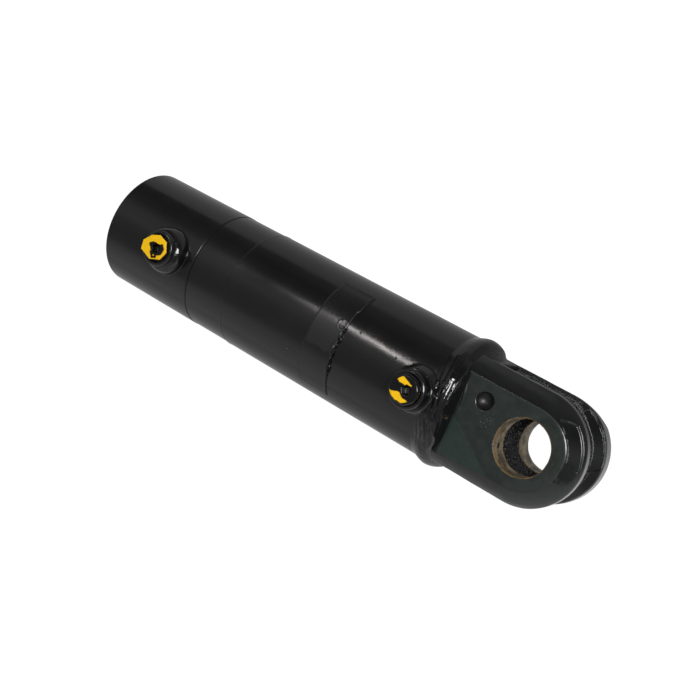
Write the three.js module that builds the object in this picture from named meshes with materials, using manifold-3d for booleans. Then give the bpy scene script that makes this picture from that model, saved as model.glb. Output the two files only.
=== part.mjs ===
// Double-acting welded hydraulic cylinder with a two-ear base clevis.
// Millimetres, +Z up. The origin is the middle of the base pin, on the barrel's axis.
// +X points from the barrel out through the clevis, and +Z is the pin's axis, the way the ports face.
import * as THREE from 'three';
import { mergeVertices } from 'three/addons/utils/BufferGeometryUtils.js';
import Module from 'manifold-3d';

const wasm = await Module();
wasm.setup();

// ---- Driving dimensions -------------------------------------------------------------------

const BARREL_OD = 101.6;
const BORE = 88.9;
const ROD_DIAMETER = 44.45;
const STROKE = 190;
const PIN_BORE = 42.2;

const PIN_TO_HEAD_FACE = 409.5; // from the pin's axis to the flat end of the head
const HEAD_LENGTH = 96.2; // the head collar, up to its seam with the tube
const SKIMMED_LENGTH = 39.2; // the turned-down band of tube beside that seam
const SKIM = 0.5; // how much smaller its radius is
const TUBE_END_X = -73.5;

const SLOT_WIDTH = 38.2;
const EAR_THICKNESS = 21.3;
const EAR_RADIUS = 43.8; // round the pin, and half the ears' height
const CLEVIS_RADIUS = 51; // of the round bar that the clevis is milled from
const DOME_LENGTH = 52.3; // the upper ear's end is domed about the pin, to this
const SLOT_FLOOR_X = -48;
const SHOULDER_TOP_X = -61.3; // where the milled ears leave the round neck
const SHOULDER_FOOT_X = -55;
const WELD_BEVEL = 4; // on the tube's end and on the neck

const PORT_HEAD_X = -341.2;
const PORT_BASE_X = -88.3;
const BOSS_RADIUS = 15;
const BOSS_TOP = 66.3; // from the barrel's axis
const BOSS_THREAD_RADIUS = 10.6;
const PORT_HOLE_RADIUS = 6.5;
const WELD_TOE_RADIUS = 19.4;

const GAP = 0.3; // between pieces that touch
const FIT = 0.15; // between round pieces that fit inside each other
const OUTER_SIDES = 48;
const INNER_SIDES = 28;
const SMALL_SIDES = 20;

// ---- Dimensions worked out from those ------------------------------------------------------

const BARREL_RADIUS = BARREL_OD / 2;
const BORE_RADIUS = BORE / 2;
const ROD_RADIUS = ROD_DIAMETER / 2;
const HEAD_FACE_X = -PIN_TO_HEAD_FACE;
const SEAM_X = HEAD_FACE_X + HEAD_LENGTH;
const SKIM_END_X = SEAM_X + SKIMMED_LENGTH;
const SPIGOT_X = SEAM_X - 18; // the tube's threaded end inside the collar
const SPIGOT_RADIUS = 47.4;
const GLAND_FRONT_X = HEAD_FACE_X + 3.5;
const GLAND_BACK_X = HEAD_FACE_X + 58.5;
const GLAND_STOP_X = GLAND_BACK_X + 20; // the nose that stops the piston
const PISTON_FRONT_X = GLAND_STOP_X + STROKE;
const PISTON_LENGTH = 38;
const PISTON_BACK_X = PISTON_FRONT_X + PISTON_LENGTH;
const PISTON_RADIUS = BORE_RADIUS - 0.25;
const ROD_SPIGOT_RADIUS = 14;
const NUT_END_X = PISTON_BACK_X + 18;
const ROD_END_X = HEAD_FACE_X - 17.5;
const BASE_FACE_X = TUBE_END_X - 6.5;
const EAR_FACE_Z = SLOT_WIDTH / 2 + EAR_THICKNESS;
const BUSH_RADIUS = PIN_BORE / 2 + 4;

// ---- Materials -----------------------------------------------------------------------------

const finish = (color, roughness, metalness) => new THREE.MeshStandardMaterial({ color, roughness, metalness });
const blackEnamel = () => finish(0x0e0f10, 0.22, 0.0);
const greyEnamel = () => finish(0x262d2a, 0.38, 0.0);
const weldEnamel = () => finish(0x17181a, 0.3, 0.0);
const yellowPlastic = () => finish(0xf2c211, 0.45, 0.0);
const bronze = () => finish(0xa98a5a, 0.45, 0.9);
const chrome = () => finish(0xd4d6d8, 0.12, 1.0);
const steel = () => finish(0x8c8f92, 0.4, 1.0);
const castIron = () => finish(0x5d6063, 0.55, 0.8);
const urethane = () => finish(0x2f5fa8, 0.5, 0.0);
const nitrile = () => finish(0x1b1b1c, 0.7, 0.0);
const phenolic = () => finish(0x7a4a24, 0.6, 0.0);
const decal = () => finish(0x141516, 0.35, 0.0);

// ---- Shape helpers -------------------------------------------------------------------------

/** A solid turned round the X axis. The profile is a closed outline of [x, radius] points. */
function turned(profile, sides = INNER_SIDES) {
  const points = profile.map(([x, radius]) => new THREE.Vector2(radius, x));
  const area = THREE.ShapeUtils.area(points);
  if (area < 0) points.reverse();
  points.push(points[0].clone());
  const geometry = new THREE.LatheGeometry(points, sides);
  geometry.rotateZ(-Math.PI / 2);
  return geometry;
}

/** The same solid stood on the Z axis: its profile is [z, radius] points. */
function turnedUp(profile, sides = SMALL_SIDES) {
  const geometry = turned(profile, sides);
  geometry.rotateY(-Math.PI / 2);
  return geometry;
}

/** A plain round ring about the X axis, from x0 to x1. */
function ring(x0, x1, inner, outer, sides = INNER_SIDES) {
  return turned([[x0, inner], [x1, inner], [x1, outer], [x0, outer]], sides);
}

/** A ring with a broken outer edge, the section of a lip seal. */
function lipRing(x0, x1, inner, outer) {
  const lip = (x1 - x0) / 3;
  return turned([
    [x0, inner + 0.8],
    [x0 + lip, inner],
    [x1, inner],
    [x1, outer - 0.8],
    [x1 - lip, outer],
    [x0, outer],
  ]);
}

/** A cord ring of round section about the X axis. */
function cordRing(x, radius, thickness, sections = 6) {
  const corners = [];
  for (let i = 0; i < sections; i += 1) {
    const angle = (2 * Math.PI * (i + 0.5)) / sections;
    corners.push([x + (thickness / 2) * Math.cos(angle), radius + (thickness / 2) * Math.sin(angle)]);
  }
  return turned(corners);
}

/** A round bar along X, Y or Z, from its centre. */
function bar(axis, radius, length, centre, sides = SMALL_SIDES) {
  const geometry = new THREE.CylinderGeometry(radius, radius, length, sides);
  if (axis === 'x') geometry.rotateZ(-Math.PI / 2);
  if (axis === 'z') geometry.rotateX(Math.PI / 2);
  geometry.translate(...centre);
  return geometry;
}

/** A box between two corners. */
function block(low, high) {
  const size = high.map((value, i) => value - low[i]);
  const geometry = new THREE.BoxGeometry(...size);
  geometry.translate(...low.map((value, i) => value + size[i] / 2));
  return geometry;
}

/** A closed geometry as a solid that can be joined and cut. */
function solid(geometry) {
  const bare = geometry.clone();
  bare.deleteAttribute('normal');
  bare.deleteAttribute('uv');
  const merged = mergeVertices(bare, 1e-4);
  const index = merged.index.array;
  const triangles = [];
  for (let i = 0; i < index.length; i += 3) {
    const [a, b, c] = [index[i], index[i + 1], index[i + 2]];
    if (a !== b && b !== c && c !== a) triangles.push(a, b, c);
  }
  const mesh = new wasm.Mesh({
    numProp: 3,
    vertProperties: new Float32Array(merged.attributes.position.array),
    triVerts: new Uint32Array(triangles),
  });
  return new wasm.Manifold(mesh);
}

/** A finished solid, back as a geometry. */
function geometryOf(manifold) {
  const mesh = manifold.getMesh();
  const geometry = new THREE.BufferGeometry();
  geometry.setAttribute('position', new THREE.BufferAttribute(new Float32Array(mesh.vertProperties), 3));
  geometry.setIndex(new THREE.BufferAttribute(new Uint32Array(mesh.triVerts), 1));
  return geometry;
}

/** The first geometry with all the others cut away. */
function cut(geometry, ...tools) {
  return geometryOf(tools.reduce((body, tool) => body.subtract(solid(tool)), solid(geometry)));
}

/** The geometries as one solid, still open to further cutting. */
function join(...geometries) {
  const [first, ...rest] = geometries.map(solid);
  return rest.reduce((body, next) => body.add(next), first);
}

const group = new THREE.Group();

/** Adds one named piece to the assembly. */
function place(name, geometry, material) {
  const mesh = new THREE.Mesh(geometry, material);
  mesh.name = name;
  group.add(mesh);
}

// ---- Barrel and head -----------------------------------------------------------------------

/** The drilling that leads from a port into the bore. */
function portDrilling(x) {
  return bar('z', PORT_HOLE_RADIUS, 40, [x, 0, BORE_RADIUS + 6], INNER_SIDES);
}

function barrelTube() {
  const lead = 2;
  const outline = [
    [SPIGOT_X, BORE_RADIUS + lead / 2],
    [SPIGOT_X + lead, BORE_RADIUS],
    [TUBE_END_X, BORE_RADIUS],
    [TUBE_END_X, BARREL_RADIUS - WELD_BEVEL],
    [TUBE_END_X - WELD_BEVEL, BARREL_RADIUS],
    [SKIM_END_X + SKIM, BARREL_RADIUS],
    [SKIM_END_X, BARREL_RADIUS - SKIM],
    [SEAM_X + GAP + 0.6, BARREL_RADIUS - SKIM],
    [SEAM_X + GAP, BARREL_RADIUS - SKIM - 0.6],
    [SEAM_X + GAP, SPIGOT_RADIUS],
    [SPIGOT_X, SPIGOT_RADIUS],
  ];
  return cut(turned(outline, OUTER_SIDES), portDrilling(PORT_BASE_X));
}

function headCollar() {
  const edge = 1.5;
  const outline = [
    [HEAD_FACE_X, BORE_RADIUS + edge],
    [HEAD_FACE_X + edge, BORE_RADIUS],
    [SPIGOT_X - 1, BORE_RADIUS],
    [SPIGOT_X - 1, SPIGOT_RADIUS + FIT],
    [SEAM_X, SPIGOT_RADIUS + FIT],
    [SEAM_X, BARREL_RADIUS - 0.6],
    [SEAM_X - 0.6, BARREL_RADIUS],
    [HEAD_FACE_X + edge, BARREL_RADIUS],
    [HEAD_FACE_X, BARREL_RADIUS - edge],
  ];
  return cut(turned(outline, OUTER_SIDES), portDrilling(PORT_HEAD_X));
}

// ---- Gland: the rod's guide in the head, with its seals ---------------------------------------

const GROOVE_OUT = 5.2; // how deep the rod seals sit in the gland
const BAND_OUT = 2.4;
const RADIAL_SEAL = ROD_RADIUS + 0.35;

// Each groove inside the gland: where it starts, its width and its depth.
const glandGrooves = {
  wiper: [GLAND_FRONT_X + 1.5, 7, GROOVE_OUT],
  front_band: [GLAND_FRONT_X + 11, 10, BAND_OUT],
  rod_seal: [GLAND_FRONT_X + 24, 8, GROOVE_OUT],
  buffer_seal: [GLAND_FRONT_X + 35, 6, GROOVE_OUT],
  rear_band: [GLAND_FRONT_X + 44, 10, BAND_OUT],
};
const GLAND_O_RING_X = GLAND_FRONT_X + 38;
const GLAND_O_RING_WIDTH = 7;
const GLAND_O_RING_DEPTH = 3.4;

function gland() {
  const outside = BORE_RADIUS - FIT;
  const noseRadius = 31;
  const boreRadius = RADIAL_SEAL + 0.2;
  const inner = [[GLAND_FRONT_X, boreRadius]];
  for (const [x, width, depth] of Object.values(glandGrooves)) {
    const floor = boreRadius + depth;
    inner.push([x, boreRadius], [x, floor], [x + width, floor], [x + width, boreRadius]);
  }
  const grooveEnd = GLAND_O_RING_X + GLAND_O_RING_WIDTH;
  const outline = [
    ...inner,
    [GLAND_STOP_X - 1, boreRadius],
    [GLAND_STOP_X, boreRadius + 1],
    [GLAND_STOP_X, noseRadius],
    [GLAND_BACK_X, noseRadius],
    [GLAND_BACK_X, outside - 1],
    [GLAND_BACK_X - 1, outside],
    [grooveEnd, outside],
    [grooveEnd, outside - GLAND_O_RING_DEPTH],
    [GLAND_O_RING_X, outside - GLAND_O_RING_DEPTH],
    [GLAND_O_RING_X, outside],
    [GLAND_FRONT_X, outside],
  ];
  const spannerHoles = [45, 135, 225, 315].map((degrees) => {
    const angle = THREE.MathUtils.degToRad(degrees);
    return bar('x', 3.2, 12, [GLAND_FRONT_X, 36 * Math.cos(angle), 36 * Math.sin(angle)], 8);
  });
  return cut(turned(outline), ...spannerHoles);
}

/** The ring that fills one of the gland's inner grooves. */
function glandRing(groove, shape) {
  const [x, width, depth] = glandGrooves[groove];
  return shape(x + FIT, x + width - FIT, RADIAL_SEAL - 0.2, RADIAL_SEAL + 0.2 + depth - FIT);
}

function glandORing() {
  const thickness = GLAND_O_RING_DEPTH - 2 * FIT;
  return cordRing(GLAND_O_RING_X + 2, BORE_RADIUS - FIT - GLAND_O_RING_DEPTH / 2, thickness);
}

function glandBackupRing() {
  const x = GLAND_O_RING_X + 4.2;
  return ring(x, x + 2.4, BORE_RADIUS - GLAND_O_RING_DEPTH + FIT, BORE_RADIUS - 2 * FIT);
}

// ---- Rod and piston --------------------------------------------------------------------------

function pistonRod() {
  const socketRadius = 12;
  const socketDepth = 42;
  const outline = [
    [ROD_END_X, socketRadius + 2],
    [ROD_END_X + 2, socketRadius],
    [ROD_END_X + socketDepth, socketRadius],
    [ROD_END_X + socketDepth + 6, 0],
    [NUT_END_X + 1.5, 0],
    [NUT_END_X + 1.5, ROD_SPIGOT_RADIUS - 1.5],
    [NUT_END_X, ROD_SPIGOT_RADIUS],
    [PISTON_FRONT_X - GAP, ROD_SPIGOT_RADIUS],
    [PISTON_FRONT_X - GAP, ROD_RADIUS - 1],
    [PISTON_FRONT_X - GAP - 1, ROD_RADIUS],
    [ROD_END_X + 3, ROD_RADIUS],
    [ROD_END_X, ROD_RADIUS - 3],
  ];
  const flatHalf = 19;
  const flatLength = 15;
  const flats = [1, -1].map((side) => {
    const zs = side > 0 ? [flatHalf, 40] : [-40, -flatHalf];
    return block([ROD_END_X - 1, -40, zs[0]], [ROD_END_X + flatLength, 40, zs[1]]);
  });
  return cut(turned(outline), ...flats);
}

// Each groove in the piston's rim: how far behind its front face, its width and its depth.
const pistonGrooves = {
  front_band: [3, 9, 2.6],
  seal: [14.5, 9, 7.2],
  rear_band: [26, 9, 2.6],
};

function piston() {
  const boreRadius = ROD_SPIGOT_RADIUS + FIT;
  const rim = [[PISTON_FRONT_X, PISTON_RADIUS - 1], [PISTON_FRONT_X + 1, PISTON_RADIUS]];
  for (const [x, width, depth] of Object.values(pistonGrooves)) {
    const start = PISTON_FRONT_X + x;
    const floor = PISTON_RADIUS - depth;
    rim.push([start, PISTON_RADIUS], [start, floor], [start + width, floor], [start + width, PISTON_RADIUS]);
  }
  const ringGroove = PISTON_FRONT_X + 17;
  return turned([
    ...rim,
    [PISTON_BACK_X - 1, PISTON_RADIUS],
    [PISTON_BACK_X, PISTON_RADIUS - 1],
    [PISTON_BACK_X, boreRadius],
    [ringGroove + 4, boreRadius],
    [ringGroove + 4, boreRadius + 2.6],
    [ringGroove, boreRadius + 2.6],
    [ringGroove, boreRadius],
    [PISTON_FRONT_X, boreRadius],
  ]);
}

/** The ring that fills a groove of the piston, between two radii. */
function pistonRing(groove, inner, outer, shape = ring) {
  const [x, width] = pistonGrooves[groove];
  return shape(PISTON_FRONT_X + x + FIT, PISTON_FRONT_X + x + width - FIT, inner, outer);
}

function wearBand(groove) {
  return pistonRing(groove, PISTON_RADIUS - pistonGrooves[groove][2] + GAP, PISTON_RADIUS + 0.1);
}

function pistonNut() {
  const acrossCorners = 46 / Math.cos(Math.PI / 6);
  const hexagon = new THREE.CylinderGeometry(acrossCorners / 2, acrossCorners / 2, 17, 6);
  hexagon.rotateZ(-Math.PI / 2);
  hexagon.translate(PISTON_BACK_X + GAP + 8.5, 0, 0);
  return cut(hexagon, bar('x', ROD_SPIGOT_RADIUS + FIT, 40, [PISTON_BACK_X + 8.5, 0, 0], INNER_SIDES));
}

// ---- Base clevis -----------------------------------------------------------------------------

/** The round bar that the clevis is milled from: spigot, weld bevel, shoulder and a domed or square end. */
function clevisBar(domed) {
  const spigot = BORE_RADIUS - FIT;
  const outline = [
    [BASE_FACE_X, 0],
    [BASE_FACE_X, spigot - 1],
    [BASE_FACE_X + 1, spigot],
    [TUBE_END_X + GAP, spigot],
    [TUBE_END_X + GAP, CLEVIS_RADIUS - WELD_BEVEL],
    [TUBE_END_X + GAP + WELD_BEVEL, CLEVIS_RADIUS],
    [0, CLEVIS_RADIUS],
  ];
  const domeSteps = domed ? 9 : 0;
  if (!domed) outline.push([DOME_LENGTH, CLEVIS_RADIUS]);
  for (let i = 1; i < domeSteps; i += 1) {
    const angle = (Math.PI / 2) * (i / domeSteps);
    outline.push([DOME_LENGTH * Math.sin(angle), CLEVIS_RADIUS * Math.cos(angle)]);
  }
  outline.push([DOME_LENGTH, 0]);
  return turned(outline, OUTER_SIDES);
}

/** The ears' outline seen along the pin: a round end on two straight sides. */
function earPrism() {
  const shape = new THREE.Shape();
  shape.moveTo(SHOULDER_TOP_X, -EAR_RADIUS);
  shape.lineTo(0, -EAR_RADIUS);
  shape.absarc(0, 0, EAR_RADIUS, -Math.PI / 2, Math.PI / 2, false);
  shape.lineTo(SHOULDER_TOP_X, EAR_RADIUS);
  shape.closePath();
  const depth = 2 * EAR_FACE_Z;
  const prism = new THREE.ExtrudeGeometry(shape, { depth, bevelEnabled: false, curveSegments: 20 });
  prism.translate(0, 0, -depth / 2);
  return prism;
}

/** Where the clevis is left round: its neck, down to a sloping shoulder. */
function neck() {
  return turned([
    [BASE_FACE_X - 5, 0],
    [BASE_FACE_X - 5, CLEVIS_RADIUS + 5],
    [SHOULDER_TOP_X, CLEVIS_RADIUS + 5],
    [SHOULDER_TOP_X, CLEVIS_RADIUS],
    [SHOULDER_FOOT_X, EAR_FACE_Z + 1],
    [SHOULDER_FOOT_X, 0],
  ], OUTER_SIDES);
}

/** The blind hole on the upper ear, with its drill point. */
function locatingHole() {
  const radius = 6.6;
  const floor = EAR_FACE_Z - 5;
  const mouth = EAR_FACE_Z + 1;
  const hole = turnedUp([
    [floor - 2.5, 0],
    [floor, radius],
    [EAR_FACE_Z - 0.6, radius],
    [mouth, radius + 1.6],
    [mouth, 0],
  ]);
  hole.translate(-39.7, 16.6, 0);
  return hole;
}

/** The ground flat that slopes off one root corner of the upper ear. */
function groundCorner() {
  const wedge = block([-60, -60, 0], [60, 0, 20]);
  wedge.rotateX(THREE.MathUtils.degToRad(4));
  wedge.rotateZ(Math.atan2(-26.9, 41));
  wedge.translate(-55.1, -3.7, EAR_FACE_Z);
  return wedge;
}

function baseClevis() {
  const milled = solid(earPrism()).add(solid(neck()));
  const tools = [
    block([SLOT_FLOOR_X, -80, -SLOT_WIDTH / 2], [80, 80, SLOT_WIDTH / 2]),
    bar('z', BUSH_RADIUS + FIT, 120, [0, 0, 0], INNER_SIDES),
    locatingHole(),
    groundCorner(),
  ];
  const upper = block([-200, -80, 0], [80, 80, 80]);
  const round = solid(clevisBar(false)).subtract(solid(upper)).add(solid(clevisBar(true)));
  const blank = round.intersect(milled);
  return geometryOf(tools.reduce((body, tool) => body.subtract(solid(tool)), blank));
}

/** The bush in one ear; side is 1 for the upper ear and -1 for the lower one. */
function clevisBush(side) {
  const inner = PIN_BORE / 2;
  const z0 = SLOT_WIDTH / 2 + GAP;
  const z1 = EAR_FACE_Z - GAP;
  const bush = turnedUp([
    [z0, inner + 0.8],
    [z0 + 0.8, inner],
    [z1 - 0.8, inner],
    [z1, inner + 0.8],
    [z1, BUSH_RADIUS],
    [z0, BUSH_RADIUS],
  ], INNER_SIDES);
  if (side < 0) bush.rotateX(Math.PI);
  const oilHole = bar('x', 1.8, 12, [-PIN_BORE / 2 - 2, 0, side * (SLOT_WIDTH + EAR_THICKNESS) / 2], 12);
  oilHole.rotateZ(THREE.MathUtils.degToRad(24));
  return cut(bush, oilHole);
}

/** The bead that joins the clevis to the tube over their bevels, notched round the base port's weld. */
function baseWeldBead() {
  const skin = CLEVIS_RADIUS + GAP;
  const bead = turned([
    [TUBE_END_X + GAP / 2, CLEVIS_RADIUS - WELD_BEVEL + 0.5],
    [TUBE_END_X + WELD_BEVEL, skin],
    [SHOULDER_TOP_X - 0.4, skin],
    [SHOULDER_TOP_X - 0.8, skin + 0.8],
    [SHOULDER_TOP_X - 3.6, skin + 2.4],
    [SHOULDER_TOP_X - 7.2, skin + 3],
    [SHOULDER_TOP_X - 11.2, skin + 2.6],
    [SHOULDER_TOP_X - 15, skin + 1.3],
    [SHOULDER_TOP_X - 18, skin],
    [TUBE_END_X - WELD_BEVEL + 0.4, skin],
  ], OUTER_SIDES);
  const barrel = bar('x', BARREL_RADIUS, 600, [-250, 0, 0], OUTER_SIDES);
  const portColumn = bar('z', WELD_TOE_RADIUS + 0.6 + GAP, 40, [PORT_BASE_X, 0, 60]);
  const aboveBarrel = solid(portColumn).subtract(solid(barrel));
  return geometryOf(solid(bead).subtract(aboveBarrel));
}

// ---- Ports -----------------------------------------------------------------------------------

/** The barrel's outer skin with the weld gap, which bosses and welds are cut to. */
const barrelCutter = () => bar('x', BARREL_RADIUS + GAP, 600, [-250, 0, 0], OUTER_SIDES);

function portBoss(x) {
  const foot = BARREL_RADIUS - 8;
  const outline = [
    [foot, PORT_HOLE_RADIUS],
    [foot, BOSS_RADIUS],
    [BOSS_TOP - 1, BOSS_RADIUS],
    [BOSS_TOP, BOSS_RADIUS - 1],
    [BOSS_TOP, BOSS_THREAD_RADIUS + 1.8],
    [BOSS_TOP - 1.8, BOSS_THREAD_RADIUS],
    [BOSS_TOP - 13, BOSS_THREAD_RADIUS],
    [BOSS_TOP - 15, PORT_HOLE_RADIUS],
  ];
  const boss = turnedUp(outline);
  boss.translate(x, 0, 0);
  return cut(boss, barrelCutter());
}

/** The full, rounded weld round a boss's foot. */
function portWeld(x) {
  const inner = BOSS_RADIUS + GAP;
  const outline = [
    [BARREL_RADIUS - 8, inner],
    [BARREL_RADIUS - 8, WELD_TOE_RADIUS + 0.6],
    [BARREL_RADIUS - 1, WELD_TOE_RADIUS],
    [BARREL_RADIUS + 3, WELD_TOE_RADIUS - 0.4],
    [BARREL_RADIUS + 5.8, WELD_TOE_RADIUS - 1.6],
    [BARREL_RADIUS + 7.6, WELD_TOE_RADIUS - 3.2],
    [BARREL_RADIUS + 7.9, inner],
  ];
  const weld = turnedUp(outline);
  weld.translate(x, 0, 0);
  return cut(weld, barrelCutter());
}

/** A screw-in plastic plug with an eight-sided head and a hexagon socket. */
function portPlug(x) {
  const headRadius = 13.8;
  const headThickness = 4.2;
  const headBottom = BOSS_TOP + GAP;
  const head = new THREE.CylinderGeometry(headRadius - 0.6, headRadius, headThickness, 8);
  head.rotateX(Math.PI / 2);
  head.scale(1, 0.89, 1);
  head.translate(0, 0, headBottom + headThickness / 2);
  const shankRadius = BOSS_THREAD_RADIUS - FIT;
  const shank = turnedUp([
    [headBottom - 12, 0],
    [headBottom - 12, shankRadius - 1],
    [headBottom - 11, shankRadius],
    [headBottom + 1, shankRadius],
    [headBottom + 1, 0],
  ]);
  const socket = new THREE.CylinderGeometry(7, 7, 16, 6);
  socket.rotateX(Math.PI / 2);
  socket.translate(0, 0, headBottom + headThickness + 1);
  const plug = geometryOf(join(head, shank).subtract(solid(socket)));
  plug.translate(x, 0, 0);
  return plug;
}

/** The wrap-round identification plate, left blank. */
function labelPlate() {
  const x0 = HEAD_FACE_X + 221;
  const x1 = HEAD_FACE_X + 249;
  const low = THREE.MathUtils.degToRad(-52);
  const high = THREE.MathUtils.degToRad(55);
  const inner = BARREL_RADIUS + GAP;
  const shape = new THREE.Shape();
  shape.absarc(0, 0, inner + 0.4, low, high, false);
  shape.absarc(0, 0, inner, high, low, true);
  shape.closePath();
  const plate = new THREE.ExtrudeGeometry(shape, { depth: x1 - x0, bevelEnabled: false, curveSegments: 20 });
  // The outline's own X becomes +Z and its own Y stays +Y, so that the extrusion runs along -X.
  plate.rotateY(-Math.PI / 2);
  plate.translate(x1, 0, 0);
  return plate;
}

// ---- The assembly ----------------------------------------------------------------------------

place('barrel_tube', barrelTube(), blackEnamel());
place('head_collar', headCollar(), blackEnamel());
place('base_clevis', baseClevis(), greyEnamel());
place('base_weld_bead', baseWeldBead(), weldEnamel());
place('clevis_bush_upper', clevisBush(1), bronze());
place('clevis_bush_lower', clevisBush(-1), bronze());
place('label_plate', labelPlate(), decal());

for (const [end, x] of [['head', PORT_HEAD_X], ['base', PORT_BASE_X]]) {
  place(`${end}_port_boss`, portBoss(x), blackEnamel());
  place(`${end}_port_weld`, portWeld(x), weldEnamel());
  place(`${end}_port_plug`, portPlug(x), yellowPlastic());
}

place('gland', gland(), castIron());
place('gland_o_ring', glandORing(), nitrile());
place('gland_backup_ring', glandBackupRing(), phenolic());
place('rod_wiper', glandRing('wiper', lipRing), urethane());
place('rod_guide_band_front', glandRing('front_band', ring), phenolic());
place('rod_seal', glandRing('rod_seal', lipRing), urethane());
place('rod_buffer_seal', glandRing('buffer_seal', lipRing), urethane());
place('rod_guide_band_rear', glandRing('rear_band', ring), phenolic());

place('piston_rod', pistonRod(), chrome());
place('piston', piston(), steel());
place('piston_nut', pistonNut(), steel());
place('piston_rod_o_ring', cordRing(PISTON_FRONT_X + 19, ROD_SPIGOT_RADIUS + 1.5, 2.3), nitrile());
place('piston_wear_band_front', wearBand('front_band'), phenolic());
place('piston_wear_band_rear', wearBand('rear_band'), phenolic());
const sealSplit = PISTON_RADIUS - 3.4; // the slipper ring lies on its energiser here
place('piston_seal', pistonRing('seal', sealSplit, PISTON_RADIUS + 0.1), urethane());
place('piston_seal_energiser', pistonRing('seal', PISTON_RADIUS - 7.2 + GAP, sealSplit - FIT), nitrile());

export default group;
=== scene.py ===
"""Fine surfaces and finishes for the hydraulic cylinder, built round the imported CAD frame.

Shapes are worked out in millimetres in the row frame: X along the barrel, Z along the base pin.
"""

import math

import bmesh
import bpy
import numpy as np
from mathutils import Matrix, Vector


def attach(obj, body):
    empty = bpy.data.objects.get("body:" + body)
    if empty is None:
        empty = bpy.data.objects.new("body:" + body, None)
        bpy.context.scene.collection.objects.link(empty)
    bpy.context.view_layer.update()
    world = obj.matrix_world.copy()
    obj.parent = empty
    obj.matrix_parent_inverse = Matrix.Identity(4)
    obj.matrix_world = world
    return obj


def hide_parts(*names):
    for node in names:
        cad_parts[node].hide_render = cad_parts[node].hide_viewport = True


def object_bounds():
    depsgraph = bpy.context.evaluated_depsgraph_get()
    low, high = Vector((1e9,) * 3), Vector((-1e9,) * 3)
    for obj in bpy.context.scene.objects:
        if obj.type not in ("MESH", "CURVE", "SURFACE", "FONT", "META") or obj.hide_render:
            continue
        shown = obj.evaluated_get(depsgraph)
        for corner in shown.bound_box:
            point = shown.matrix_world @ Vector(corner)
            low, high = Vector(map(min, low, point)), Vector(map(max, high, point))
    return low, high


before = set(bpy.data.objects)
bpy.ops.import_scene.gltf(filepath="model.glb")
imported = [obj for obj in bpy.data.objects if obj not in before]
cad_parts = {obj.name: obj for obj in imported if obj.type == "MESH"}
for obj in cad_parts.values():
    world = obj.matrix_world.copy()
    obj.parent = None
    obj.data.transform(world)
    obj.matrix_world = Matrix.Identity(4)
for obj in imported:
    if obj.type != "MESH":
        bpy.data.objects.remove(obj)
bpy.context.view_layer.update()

MM = 0.001
TAU = 2 * math.pi

# ---- Sizes, in millimetres ----

BARREL_R = 51.2
BORE_R = 44.45
ROD_R = 22.225
HEAD_X = -409.5
SEAM_X = -313.3
SKIM_X = -274.1
TUBE_X = -73.5
SLOT_Z = 19.1
EAR_Z = 40.4
EAR_R = 43.8
BAR_R = 51.0
DOME_X = 52.3
SLOT_X = -48.0
BUSH_R = 25.1
OIL_HOLE_R = 1.75
DIMPLE = (-39.7, 16.6)
DIMPLE_R = 6.7
NECK_X = -61.3
PIN_R = 21.1
HEAD_PORT_X = -341.2
BASE_PORT_X = -88.3
BOSS_R = 15.0
BOSS_Z = 66.3
PLUG_Z = BOSS_Z + 0.3
ROD_END_X = HEAD_X - 17.5
GLAND_X = HEAD_X + 3.5
ROD_TAIL_X = -85.0
PISTON_X = -141.3
LABEL_X = (-189.9, -160.9)
LABEL_DEGREES = (-53.5, 57.0)


def new_object(name, data):
    made = bpy.data.objects.new(name, data)
    bpy.context.scene.collection.objects.link(made)
    return made


# ---- Camera, fitted to the outline in the photo ----

CAMERA_PLACE = (210.84, 128.28, 789.97)
CAMERA_RIGHT = (0.78490, 0.42104, -0.45459)
CAMERA_FORWARD = (-0.43338, -0.15132, -0.88842)
SENSOR_WIDTH = 36.0
LENS = SENSOR_WIDTH * 11 / 7


def add_camera():
    data = bpy.data.cameras.new("camera")
    data.sensor_width = SENSOR_WIDTH
    data.lens = LENS
    data.clip_start = 0.05
    data.clip_end = 50.0
    camera = new_object("camera", data)
    right = Vector(CAMERA_RIGHT).normalized()
    forward = Vector(CAMERA_FORWARD).normalized()
    up = right.cross(forward).normalized()
    right = forward.cross(up).normalized()
    turn = Matrix((right, up, -forward)).transposed().to_4x4()
    camera.matrix_world = Matrix.Translation(Vector(CAMERA_PLACE) * MM) @ turn
    bpy.context.scene.camera = camera


add_camera()

# ---- Noise and smooth joins on arrays ----


def lattice(i, seed):
    """A random number between -1 and 1 for each whole-numbered point, the same on every run."""
    n = i[..., 0] * 374761393 + i[..., 1] * 668265263 + i[..., 2] * 1440662683 + seed * 974634777
    n = n & 0xFFFFFFFF
    n = ((n ^ (n >> 13)) * 1274126177) & 0xFFFFFFFF
    n = ((n ^ (n >> 15)) * 2246822519) & 0xFFFFFFFF
    return ((n ^ (n >> 16)) & 0xFFFF) / 32767.5 - 1.0


def lumps(p, size, seed):
    """Smooth noise between -1 and 1, with lumps of about that size."""
    q = p / size
    i = np.floor(q).astype(np.int64)
    f = q - i
    f = f * f * (3 - 2 * f)
    total = 0.0
    for corner in np.ndindex(2, 2, 2):
        total = total + np.where(corner, f, 1 - f).prod(-1) * lattice(i + corner, seed)
    return total


def smooth_max(a, b, k):
    h = np.maximum(k - np.abs(a - b), 0) / k
    return np.maximum(a, b) + h * h * k / 4


def smooth_min(a, b, k):
    return -smooth_max(-a, -b, k)


def ramp(value, low, high):
    t = np.clip((value - low) / (high - low), 0, 1)
    return t * t * (3 - 2 * t)


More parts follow.
